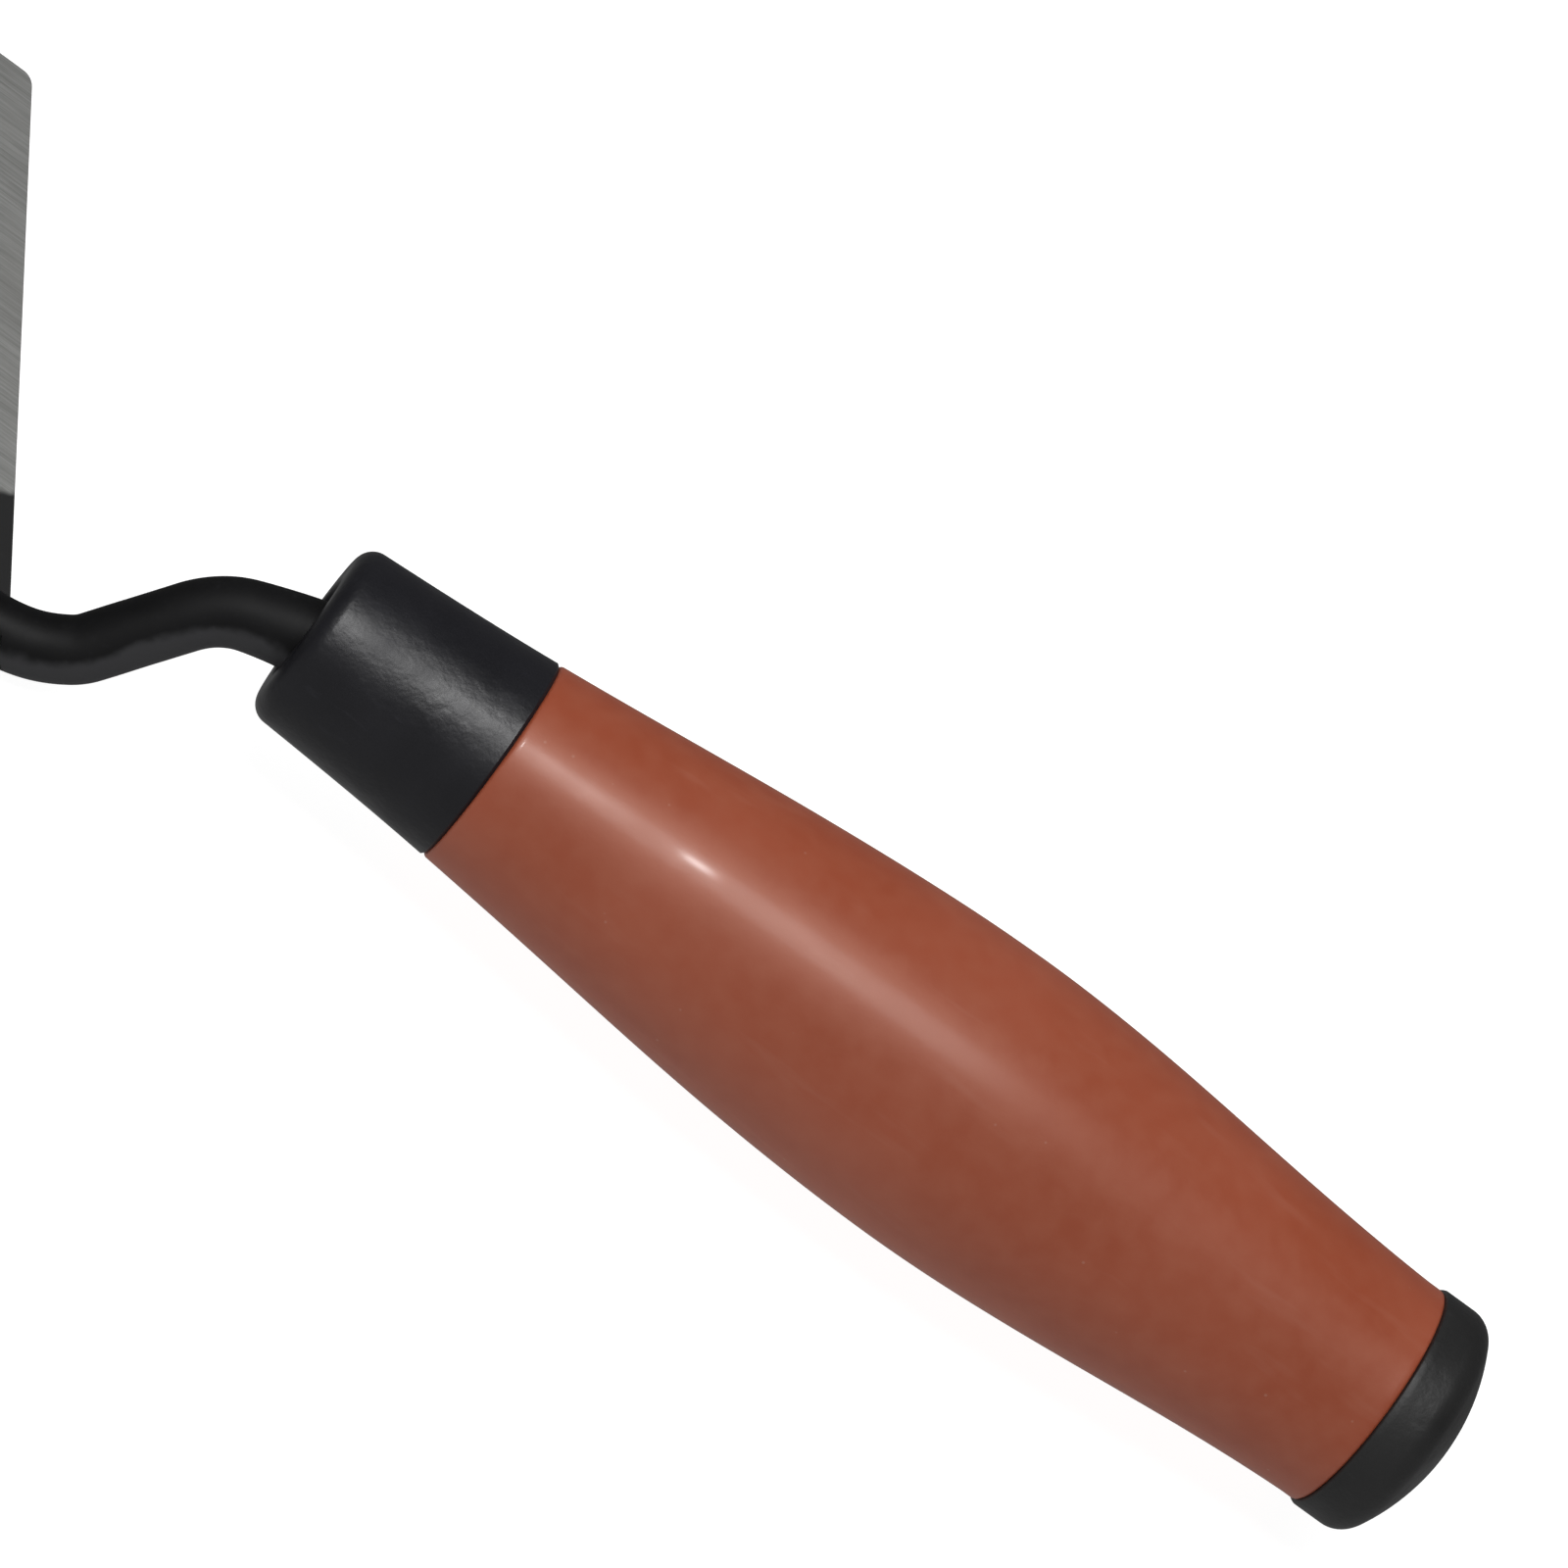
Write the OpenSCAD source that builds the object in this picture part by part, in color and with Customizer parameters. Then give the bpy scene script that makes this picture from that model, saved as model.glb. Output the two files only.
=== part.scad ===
// Inside corner trowel: a folded steel V blade, a cranked steel tang welded into the fold,
// and a turned handle of a plastic core, a front collar, a soft grip sleeve and an end cap.
// Millimetres, +Z up. The tool lies on the outer face of one wing, with the fold along X, the
// nose towards -X and the handle towards +X. The other wing stands up along the fold, on the
// -Y side. The origin is on the surface that the tool lies on, below the middle of the whole.
// Each module draws its piece with the fold lowest and both wings rising; lying() turns it over.

/* [Blade] */
// Length of each wing along its outer side edge
side_len = 80; // [60:1:110]
// Width of each wing, from the fold's sharp corner to the side edge
wing_w = 60; // [50:1:75]
// Thickness of the sheet steel
sheet_t = 1.2; // [0.8:0.1:1.6]
// Outside radius of the fold
fold_r = 2.5; // [2:0.1:3.5]
// Angle by which the rear edges sweep forward from the heel
heel_sweep = 29; // [15:1:35]
// Radius of the rear outer corners
rear_corner_r = 2; // [1:0.5:6]
// Radius of the nose's outer corners
nose_corner_r = 3; // [1:0.5:8]

/* [Tang] */
// Diameter of the tang's bar
bar_d = 7; // [6:0.1:7.6]
// Diameter of the bar where it reaches the handle's axis
neck_d = 8.8; // [8:0.1:9]
// Diameter of the tail inside the handle
tail_d = 6.8; // [6:0.1:7.2]
// Angle of the crank's middle leg above the fold
crank_angle = 54.5; // [52:0.5:57]
// Height of the foot's centre line above the fold
foot_z = 3.4; // [3.3:0.1:3.8]
// Distance ahead of the heel at which the foot begins to rise
rise_start = 4.5; // [4:0.1:5]
// Slope at which the lower bend tightens
lower_split = 35; // [32:1:38]
// Centre-line radius of the lower bend's first stretch
lower_slow_r = 15.5; // [14.5:0.1:16.5]
// Centre-line radius of the lower bend's tight stretch
lower_tight_r = 6; // [5:0.1:7]
// Centre-line radius of the upper bend's tight stretch
upper_tight_r = 10.5; // [9.5:0.1:11.5]
// Slope at which the upper bend eases
upper_split = 20; // [18:1:22]
// Centre-line radius of the upper bend's last stretch, which ends inside the collar
upper_slow_r = 42; // [38:1:46]
// Length of the foot in the fold, forward from the heel
foot_len = 46; // [36:1:60]
// Diameter of the foot's rounded tip
foot_tip_d = 4.4; // [4:0.1:5]
// Length of the tail inside the handle, from the collar's front face
tail_len = 66; // [40:1:90]

/* [Weld] */
// Radius of the two weld beads beside the foot
weld_r = 1.9; // [1.5:0.1:2.4]
// Length of each weld bead
weld_len = 30; // [20:1:32]

/* [Handle] */
// Height of the handle's axis above the fold
handle_z = 22.1; // [20:0.1:26]
// Distance from the heel to the collar's front face
collar_gap = 21.6; // [21:0.1:24]
// Length of the collar
collar_len = 22.4; // [18:0.1:26]
// Length of the soft grip sleeve
grip_len = 108; // [90:1:125]
// Length of the end cap
cap_len = 9.3; // [8.5:0.1:11]
// Diameter of the collar at its front edge
front_d = 20; // [19:0.1:22]
// Diameter at the seam of the collar and the grip
seam_d = 23.1; // [22:0.1:25]
// Diameter of the grip at its belly
belly_d = 32.4; // [29:0.1:36]
// Diameter of the grip in front of the end cap
waist_d = 25.5; // [24:0.1:29]
// Diameter of the end cap
cap_d = 26.1; // [24.5:0.1:29.5]
// Thickness of the soft sleeve
sleeve_t = 3; // [2:0.1:4]

/* [Hidden] */
$fn = 96;

// Places along X
handle_len = collar_len + grip_len + cap_len;
wing_s = wing_w - fold_r;
fold_len = side_len + wing_s * tan(heel_sweep);
total_len = fold_len + collar_gap + handle_len;
heel_x = fold_len - total_len / 2;
collar_x = heel_x + collar_gap;
seam_x = collar_x + collar_len;
cap_x = seam_x + grip_len;
end_x = cap_x + cap_len;

// Fold
inner_r = fold_r - sheet_t;
fold_gap = fold_r * (1 - 1 / sqrt(2));
far = 100;
eps = 0.01;

// Fits inside the handle
fit = 0.05;
collar_wall = 4.2;
spigot_r = 7.6;
tail_hole_r = tail_d / 2 + fit;
tail_hole_end = tail_len + 4;
plug_r = 6;
plug_len = 14;
plug_hole_len = plug_len + 1;
edge_bevel = 0.35;
collar_edge_r = 2.2;
cap_edge_r = 3;
cap_dome_r = 23;

// Tang
bar_r = bar_d / 2;
bend_steps = 8;
turn_steps = 4;
foot_steps = 12;
ring_sides = 32;
foot_taper_len = 14;
lower_end_x = lower_slow_r * sin(lower_split) - rise_start
    + lower_tight_r * (sin(crank_angle) - sin(lower_split));
lower_end_z = foot_z + lower_slow_r * (1 - cos(lower_split))
    + lower_tight_r * (cos(lower_split) - cos(crank_angle));
upper_start_z = handle_z - upper_slow_r * (1 - cos(upper_split))
    - upper_tight_r * (cos(upper_split) - cos(crank_angle));
upper_start_x = lower_end_x + (upper_start_z - lower_end_z) / tan(crank_angle);
ease_x = upper_start_x + upper_tight_r * (sin(crank_angle) - sin(upper_split));
level_x = ease_x + upper_slow_r * sin(upper_split);

// Slope of the bar and its distance below the handle's axis, where it enters the collar
entry_slope = asin((level_x - collar_gap) / upper_slow_r);
entry_drop = upper_slow_r * (1 - cos(entry_slope));
neck_hole_r = entry_drop + neck_d / 2 + 0.15;
shoulder_x = level_x + 0.3;
mouth_r = neck_d / 2 + 0.5;
mouth_end = shoulder_x - collar_gap + 0.6;

// A smooth step from 0 to 1
function ease(u) = let (v = max(0, min(1, u))) v * v * (3 - 2 * v);

// A cubic from radius r0 and slope m0 at x0 to radius r1 and slope m1 at x1
function cubic(x, x0, r0, m0, x1, r1, m1) =
    let (w = x1 - x0, u = (x - x0) / w)
    r0 * (1 + 2 * u) * (1 - u) * (1 - u) + m0 * w * u * (1 - u) * (1 - u)
    + r1 * u * u * (3 - 2 * u) + m1 * w * u * u * (u - 1);

// Outer radius of the handle at a distance x behind the collar's front face
belly_at = collar_len + grip_len * 0.53;
waist_at = collar_len + grip_len * 0.985;
seam_slope = 0.095;
function handle_r(x) =
    x < collar_len ? cubic(x, 0, front_d / 2, 0.055, collar_len, seam_d / 2, seam_slope)
    : x < belly_at ? cubic(x, collar_len, seam_d / 2, seam_slope, belly_at, belly_d / 2, 0)
    : x < waist_at ? cubic(x, belly_at, belly_d / 2, 0, waist_at, waist_d / 2, -0.035)
    : waist_d / 2;

// Points of an arc that rounds corner b, between its neighbours a and c
function unit(v) = v / norm(v);
function rounded(a, b, c, r, steps = 8) =
    let (
        to_a = unit(a - b),
        to_c = unit(c - b),
        half = acos(to_a * to_c) / 2,
        mid = b + unit(to_a + to_c) * r / sin(half),
        start = b + to_a * r / tan(half) - mid,
        stop = b + to_c * r / tan(half) - mid,
        a0 = atan2(start[1], start[0]),
        turn = (atan2(stop[1], stop[0]) - a0 + 540) % 360 - 180
    )
    [for (i = [0 : steps]) mid + r * [cos(a0 + turn * i / steps), sin(a0 + turn * i / steps)]];

// ---- Blade ----

// One wing laid flat, with the heel at the origin, the nose towards -X and the fold along Y = 0
module wing_outline() {
    heel = [0, 0];
    rear = [-wing_s * tan(heel_sweep), wing_s];
    nose = [-fold_len, wing_s];
    root = [-fold_len, 0];
    polygon(concat(
        [root, heel],
        rounded(heel, rear, nose, rear_corner_r),
        rounded(rear, nose, root, nose_corner_r)
    ));
}

// Turns a shape in the fold's own axes, with the bend's centre at its origin, into place
module in_fold() {
    translate([heel_x, 0, fold_r]) rotate([45, 0, 0]) children();
}

module wing() {
    in_fold() translate([0, 0, -fold_r]) linear_extrude(sheet_t) wing_outline();
}

module fold_section() {
    difference() {
        circle(fold_r);
        circle(inner_r);
        translate([0, -far]) square([far, 2 * far]);
        translate([-far, 0]) square([2 * far, far]);
    }
}

module blade() {
    color([0.56, 0.56, 0.55]) union() {
        wing();
        mirror([0, 1, 0]) wing();
        in_fold() translate([-fold_len, 0, 0]) rotate([90, 0, 90]) linear_extrude(fold_len) fold_section();
    }
}

// Everything on the fold's outer side of the blade's inner faces, from the nose to the heel
module below_inner_faces() {
    in_fold() translate([-fold_len, 0, 0]) rotate([90, 0, 90]) linear_extrude(fold_len) difference() {
        translate([-20, -20]) square([50, 50]);
        translate([-inner_r, 0]) square([far, far]);
        translate([0, -inner_r]) square([far, far]);
        circle(inner_r);
    }
}

// ---- Tang ----

// A station of the bar, square to its path: distance behind the heel, height, lean of the ring,
// stretch of the ring's height, radius, and whether it beds into the fold
function station(x, z, slope, r) = [x, z, slope, cos(slope), r, x < 0];

tip_r = foot_tip_d / 2;
function foot_r(x) = tip_r + (bar_r - tip_r) * ease((x + foot_len) / foot_taper_len);
function neck_r(x) = bar_r + (neck_d / 2 - bar_r) * ease((x - upper_start_x) / (level_x - upper_start_x));
tip_stations = [for (a = [12 : 13 : 77])
    station(-foot_len + tip_r * (1 - cos(a)), foot_z, 0, tip_r * sin(a))];
foot_stations = [for (i = [0 : foot_steps - 1])
    let (x = -foot_len + tip_r + i * (foot_len - rise_start - tip_r) / foot_steps)
    station(x, foot_z, 0, foot_r(x))];

// The bar leaves the fold at the heel through two upright rings, a bedded one and then a full one.
// The leaning rings on either side keep clear of them.
function rise_z(a) = foot_z + lower_slow_r * (1 - cos(a));
function rise(a) = station(lower_slow_r * sin(a) - rise_start, rise_z(a), a, bar_r);
function upright(x, bedded) =
    let (a = asin((x + rise_start) / lower_slow_r))
    [x, rise_z(a), 0, 1 / cos(a), bar_r, bedded];
bedded_turn = asin(rise_start / (lower_slow_r + bar_r));
free_turn = asin((rise_start + 0.1) / (lower_slow_r - bar_r));
rise_stations = concat(
    [for (i = [0 : turn_steps]) rise(bedded_turn * i / turn_steps)],
    [upright(0.03, true), upright(0.08, false)],
    [for (i = [0 : turn_steps]) rise(free_turn + (lower_split - free_turn) * i / turn_steps)]
);
lower_stations = [for (i = [1 : bend_steps])
    let (a = lower_split + (crank_angle - lower_split) * i / bend_steps)
    station(lower_end_x - lower_tight_r * (sin(crank_angle) - sin(a)),
        lower_end_z - lower_tight_r * (cos(a) - cos(crank_angle)), a, bar_r)];
upper_stations = [for (i = [0 : bend_steps])
    let (
        a = crank_angle + (upper_split - crank_angle) * i / bend_steps,
        x = upper_start_x + upper_tight_r * (sin(crank_angle) - sin(a))
    )
    station(x, upper_start_z + upper_tight_r * (cos(a) - cos(crank_angle)), a, neck_r(x))];
ease_stations = [for (i = [1 : bend_steps])
    let (a = upper_split * (1 - i / bend_steps), x = level_x - upper_slow_r * sin(a))
    station(x, handle_z - upper_slow_r * (1 - cos(a)), a, neck_r(x))];
tail_x = collar_gap + tail_len;
tail_stations = [
    station(shoulder_x, handle_z, 0, neck_d / 2),
    station(shoulder_x + 0.2, handle_z, 0, tail_d / 2),
    station(tail_x - 1, handle_z, 0, tail_d / 2),
    station(tail_x, handle_z, 0, tail_d / 2 - 1)
];
stations = concat(tip_stations, foot_stations, rise_stations, lower_stations,
    upper_stations, ease_stations, tail_stations);

// Height of the corner of the blade's inner faces, and of the flat that clears their rounded bend
inner_corner_z = fold_r - inner_r * sqrt(2);
inner_flat_z = fold_r - inner_r / sqrt(2);

// A ring round a station; where the bar beds into the fold, its points stop at the blade's faces
function ring(s) = [for (k = [0 : ring_sides - 1])
    let (
        t = 360 * (k + 0.5) / ring_sides,
        d = [-sin(t) * sin(s[2]), cos(t), sin(t) * s[3]],
        side = abs(d[1]) - d[2],
        to_wing = side > 0.01 ? (s[1] - inner_corner_z) / side : far,
        to_flat = d[2] < -0.01 ? (inner_flat_z - s[1]) / d[2] : far,
        r = s[5] ? min(s[4], to_wing, to_flat) : s[4]
    )
    [s[0], 0, s[1]] + r * d];

// A closed skin through the rings
module skin(rings) {
    n = len(rings[0]);
    m = len(rings);
    sides = [for (j = [0 : m - 2], k = [0 : n - 1])
        let (a = j * n + k, b = j * n + (k + 1) % n)
        each [[a, b + n, b], [a, a + n, b + n]]];
    first = [for (k = [0 : n - 1]) k];
    last = [for (k = [n - 1 : -1 : 0]) (m - 1) * n + k];
    polyhedron(points = [for (r = rings, p = r) p], faces = concat(sides, [first, last]));
}

module tang() {
    color([0.12, 0.12, 0.13]) translate([heel_x, 0, 0]) skin([for (s = stations) ring(s)]);
}

// ---- Weld ----

// Distance from the middle at which the bar's side meets a wing's inner face
bed_gap = (foot_z - inner_corner_z) / sqrt(2);
weld_y = (foot_z - inner_corner_z + sqrt(2 * (bar_r * bar_r - bed_gap * bed_gap))) / 2;

module weld_bead() {
    translate([heel_x - weld_len - rise_start, weld_y, inner_corner_z + weld_y])
        rotate([0, 90, 0]) cylinder(r = weld_r, h = weld_len);
}

module weld_beads() {
    color([0.14, 0.14, 0.15]) difference() {
        union() {
            weld_bead();
            mirror([0, 1, 0]) weld_bead();
        }
        below_inner_faces();
        translate([heel_x - fold_len, 0, foot_z]) rotate([0, 90, 0]) cylinder(r = bar_r + eps, h = fold_len);
    }
}

// ---- Handle ----

// Turns an outline of [distance along, radius] points about the handle's axis
module turned(points) {
    translate([collar_x, 0, handle_z]) rotate([0, 90, 0]) rotate_extrude()
        polygon([for (p = points) [p[1], p[0]]]);
}

function outer_line(x0, x1, steps, inset = 0) =
    [for (i = [0 : steps]) let (x = x0 + (x1 - x0) * i / steps) [x, handle_r(x) - inset]];

module collar() {
    edge = [for (a = [0 : 15 : 90])
        [collar_edge_r * (1 - sin(a)), handle_r(collar_edge_r) - collar_edge_r * (1 - cos(a))]];
    color([0.13, 0.13, 0.14]) turned(concat(
        [[0, neck_hole_r]],
        [for (i = [len(edge) - 1 : -1 : 0]) edge[i]],
        outer_line(collar_edge_r + 1.5, collar_len - edge_bevel, 10),
        [
            [collar_len, handle_r(collar_len) - edge_bevel],
            [collar_len, spigot_r + fit],
            [collar_wall, spigot_r + fit],
            [collar_wall, neck_hole_r]
        ]
    ));
}

module handle_core() {
    cap_at = collar_len + grip_len;
    color([0.2, 0.2, 0.21]) turned(concat(
        [[collar_wall, mouth_r], [collar_wall, spigot_r], [collar_len, spigot_r]],
        outer_line(collar_len, cap_at, 36, sleeve_t),
        [
            [cap_at, plug_r + fit],
            [cap_at - plug_hole_len, plug_r + fit],
            [cap_at - plug_hole_len, 0],
            [tail_hole_end, 0],
            [tail_hole_end, tail_hole_r],
            [mouth_end, tail_hole_r],
            [mouth_end, mouth_r]
        ]
    ));
}

module grip_sleeve() {
    cap_at = collar_len + grip_len;
    inner = outer_line(collar_len, cap_at, 36, sleeve_t - fit);
    color([0.58, 0.31, 0.23]) turned(concat(
        [[collar_len, handle_r(collar_len) - edge_bevel]],
        outer_line(collar_len + edge_bevel, cap_at - edge_bevel, 48),
        [[cap_at, handle_r(cap_at) - edge_bevel]],
        [for (i = [len(inner) - 1 : -1 : 0]) inner[i]]
    ));
}

module end_cap() {
    cap_at = collar_len + grip_len;
    cap_r = cap_d / 2;
    dome_angle = asin((cap_r - cap_edge_r) / (cap_dome_r - cap_edge_r));
    dome_x = cap_at + cap_len - cap_dome_r;
    rim_x = dome_x + (cap_dome_r - cap_edge_r) * cos(dome_angle);
    rim = [for (i = [0 : 8]) let (a = 90 - (90 - dome_angle) * i / 8)
        [rim_x + cap_edge_r * cos(a), cap_r - cap_edge_r * (1 - sin(a))]];
    dome = [for (i = [1 : 10]) let (a = dome_angle * (1 - i / 10))
        [dome_x + cap_dome_r * cos(a), cap_dome_r * sin(a)]];
    color([0.13, 0.14, 0.14]) turned(concat(
        [
            [cap_at - plug_len, 0],
            [cap_at - plug_len, plug_r - 0.5],
            [cap_at - plug_len + 0.5, plug_r],
            [cap_at, plug_r],
            [cap_at, cap_r - edge_bevel],
            [cap_at + edge_bevel, cap_r]
        ],
        rim,
        dome
    ));
}

// Turns the tool from its fold onto the outer face of one wing
module lying() {
    translate([0, fold_gap - wing_w / 2, fold_gap]) rotate([-45, 0, 0]) children();
}

lying() blade();
lying() tang();
lying() weld_beads();
lying() collar();
lying() handle_core();
lying() grip_sleeve();
lying() end_cap();
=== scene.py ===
"""Inside corner trowel: a folded steel blade, a cranked lacquered tang and a soft-grip handle.

Everything is in metres. The pieces are drawn with the fold lowest, along X, and both wings
rising from it; LYING then lays the tool on one wing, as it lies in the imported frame.
"""

import math
import random

import bpy
from mathutils import Matrix, Vector, noise


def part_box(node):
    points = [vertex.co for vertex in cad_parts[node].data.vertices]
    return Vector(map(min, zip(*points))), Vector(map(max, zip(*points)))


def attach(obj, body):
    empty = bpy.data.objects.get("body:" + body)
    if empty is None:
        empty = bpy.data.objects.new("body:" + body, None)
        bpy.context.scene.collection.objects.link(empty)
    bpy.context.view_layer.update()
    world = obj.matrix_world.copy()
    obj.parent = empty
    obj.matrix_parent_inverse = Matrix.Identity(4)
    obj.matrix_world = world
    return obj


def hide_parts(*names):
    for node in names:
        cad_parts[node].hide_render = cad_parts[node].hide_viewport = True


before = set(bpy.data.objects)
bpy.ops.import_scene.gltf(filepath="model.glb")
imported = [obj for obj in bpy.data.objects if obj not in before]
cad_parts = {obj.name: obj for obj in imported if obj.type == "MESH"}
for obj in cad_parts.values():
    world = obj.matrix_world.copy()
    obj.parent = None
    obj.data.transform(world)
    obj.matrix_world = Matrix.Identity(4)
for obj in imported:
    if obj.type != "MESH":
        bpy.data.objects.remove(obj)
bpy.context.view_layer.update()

MM = 0.001
BODY = "root"

# ---- Dimensions, read from the frame where it holds them ----

# The places and outer sizes of the pieces, as they lie in the frame

BLADE_LO, BLADE_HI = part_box("blade")
COLLAR_LO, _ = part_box("collar")
GRIP_LO, GRIP_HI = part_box("grip_sleeve")
CAP_LO, CAP_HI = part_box("end_cap")
TANG_LO, TANG_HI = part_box("tang")

# Blade: a folded sheet; its rear edges run forwards by SWEEP times the distance up a wing
NOSE_X = BLADE_LO.x
HEEL_X = BLADE_HI.x
WING_W = BLADE_HI.z - BLADE_LO.z
SHEET_T = 1.2 * MM
FOLD_R = 2.5 * MM
INNER_R = FOLD_R - SHEET_T
WING_S = WING_W - FOLD_R
SWEEP = math.tan(math.radians(29))
REAR_CORNER_R = 2 * MM
NOSE_CORNER_R = 3 * MM
BLADE_BEVEL = 0.16 * MM
LACQUER_REACH = 31 * MM
LACQUER_CLIMB = 0.82

# Handle: radii from its axis; the belly and the waist are placed as shares of the grip's length
COLLAR_X = COLLAR_LO.x
SEAM_X = GRIP_LO.x
CAP_X = GRIP_HI.x
END_X = CAP_HI.x
AXIS_Z = FOLD_R + ((GRIP_LO.z + GRIP_HI.z) / 2 - FOLD_R) * math.sqrt(2)
BELLY_R = (GRIP_HI.z - GRIP_LO.z) / 2
CAP_R = (CAP_HI.z - CAP_LO.z) / 2
FRONT_R = 10 * MM
FRONT_SLOPE = 0.055
SEAM_R = 11.55 * MM
SEAM_SLOPE = 0.095
BELLY_AT = 0.53
WAIST_AT = 0.985
WAIST_R = 12.75 * MM
WAIST_SLOPE = -0.035
SLEEVE_T = 3 * MM
SLEEVE_GAP = 0.05 * MM
EDGE_BEVEL = 0.35 * MM
COLLAR_EDGE_R = 2.2 * MM
COLLAR_WALL = 4.2 * MM
COLLAR_LIP = 0.5 * MM
SPIGOT_R = 7.65 * MM
PLUG_R = 6 * MM
PLUG_LEN = 14 * MM
PLUG_CHAMFER = 0.5 * MM
CAP_EDGE_R = 3 * MM
CAP_DOME_R = 23 * MM

# Tang: a round bar, bent twice below and twice above a straight climb; beads beside its foot
BAR_R = 3.5 * MM
NECK_R = 4.4 * MM
TAIL_R = 3.4 * MM
TIP_R = 2.2 * MM
SHOULDER_LEN = 0.3 * MM
SHOULDER_STEP = 0.2 * MM
TAIL_CHAMFER = 1 * MM
CRANK = math.radians(54.5)
FOOT_Z = 3.4 * MM
RISE_START = 4.5 * MM
LOWER_SPLIT = math.radians(35)
LOWER_SLOW_R = 15.5 * MM
LOWER_TIGHT_R = 6 * MM
UPPER_TIGHT_R = 10.5 * MM
UPPER_SPLIT = math.radians(20)
UPPER_SLOW_R = 42 * MM
FOOT_LEN = HEEL_X - TANG_LO.x
FOOT_TAPER = 14 * MM
NECK_CLEARANCE = 0.15 * MM
WELD_R = 1.9 * MM
WELD_LEN = 30 * MM
WELD_PITCH = 1.25 * MM
WELD_SINK = 0.4 * MM
WELD_SLIM = 0.94

# Turns the tool from fold lowest to lying on one wing
FOLD_GAP = FOLD_R * (1 - 1 / math.sqrt(2))
LYING = (Matrix.Translation((0, FOLD_GAP - WING_W / 2, FOLD_GAP))
         @ Matrix.Rotation(math.radians(-45), 4, "X"))

# Where the crank's bends start and end, measured from the heel towards the handle
LOWER_END_X = (LOWER_SLOW_R * math.sin(LOWER_SPLIT) - RISE_START
               + LOWER_TIGHT_R * (math.sin(CRANK) - math.sin(LOWER_SPLIT)))
LOWER_END_Z = (FOOT_Z + LOWER_SLOW_R * (1 - math.cos(LOWER_SPLIT))
               + LOWER_TIGHT_R * (math.cos(LOWER_SPLIT) - math.cos(CRANK)))
UPPER_START_Z = (AXIS_Z - UPPER_SLOW_R * (1 - math.cos(UPPER_SPLIT))
                 - UPPER_TIGHT_R * (math.cos(UPPER_SPLIT) - math.cos(CRANK)))
UPPER_START_X = LOWER_END_X + (UPPER_START_Z - LOWER_END_Z) / math.tan(CRANK)
LEVEL_X = (UPPER_START_X + UPPER_TIGHT_R * (math.sin(CRANK) - math.sin(UPPER_SPLIT))
           + UPPER_SLOW_R * math.sin(UPPER_SPLIT))
ENTRY_SLOPE = math.asin((LEVEL_X - (COLLAR_X - HEEL_X)) / UPPER_SLOW_R)
NECK_HOLE_R = UPPER_SLOW_R * (1 - math.cos(ENTRY_SLOPE)) + NECK_R + NECK_CLEARANCE


# ---- Camera ----

# Solved so that the rendered outline falls on the photograph's; axes with the fold lowest
CAMERA_OFFSET = Vector((-42.41, -815.36, 184.65)) * MM
CAMERA_RIGHT = Vector((0.80385, 0.03539, 0.59378)).normalized()
CAMERA_UP = Vector((-0.58522, 0.22577, 0.77881))
SENSOR_W = 36
LENS = 195.97


def make_camera():
    """A long lens at the photograph's angle, placed from the middle of the collar's front face."""
    up = (CAMERA_UP - CAMERA_RIGHT * CAMERA_UP.dot(CAMERA_RIGHT)).normalized()
    back = CAMERA_RIGHT.cross(up)
    data = bpy.data.cameras.new("camera")
    data.sensor_width = SENSOR_W
    data.lens = LENS
    data.clip_start = 0.01
    data.clip_end = 50
    cam = bpy.data.objects.new("camera", data)
    place = Matrix.Translation(Vector((COLLAR_X, 0, AXIS_Z)) + CAMERA_OFFSET)
    turn = Matrix((CAMERA_RIGHT, up, back)).transposed().to_4x4()
    cam.matrix_world = LYING @ place @ turn
    bpy.context.scene.collection.objects.link(cam)
    bpy.context.scene.camera = cam


# ---- Mesh helpers ----

SHARP_ANGLE = math.radians(35)


def add_piece(name, verts, faces, material, node):
    """A smooth-shaded mesh that rides on the root body and stands for a CAD node."""
    mesh = bpy.data.meshes.new(name)
    mesh.from_pydata([tuple(v) for v in verts], [], faces)
    mesh.transform(LYING)
    mesh.validate()
    mesh.polygons.foreach_set("use_smooth", [True] * len(mesh.polygons))
    mesh.set_sharp_from_angle(angle=SHARP_ANGLE)
    mesh.materials.append(material)
    mesh.update()
    piece = bpy.data.objects.new(name, mesh)
    bpy.context.scene.collection.objects.link(piece)
    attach(piece, BODY)
    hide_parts(node)
    return piece


def apply_bevel(piece, width):
    """Rounds the sharp edges and keeps the result in the mesh."""
    bevel = piece.modifiers.new("bevel", "BEVEL")
    bevel.width = width
    bevel.segments = 2
    bevel.limit_method = "ANGLE"
    bevel.angle_limit = math.radians(40)
    bevel.harden_normals = False
    normals = piece.modifiers.new("normals", "WEIGHTED_NORMAL")
    normals.keep_sharp = True
    bpy.context.view_layer.update()
    rounded = piece.evaluated_get(bpy.context.evaluated_depsgraph_get())
    solid = bpy.data.meshes.new_from_object(rounded)
    solid.name = piece.name
    old = piece.data
    piece.modifiers.clear()
    piece.data = solid
    bpy.data.meshes.remove(old)


def ring_faces(rings, sides, closed=False):
    """Quads between neighbouring rings of points; closed joins the last ring to the first."""
    faces = []
    for j in range(rings if closed else rings - 1):
        a = j * sides
        b = ((j + 1) % rings) * sides
        for k in range(sides):
            k2 = (k + 1) % sides
            faces.append((a + k, a + k2, b + k2, b + k))
    return faces


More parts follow.
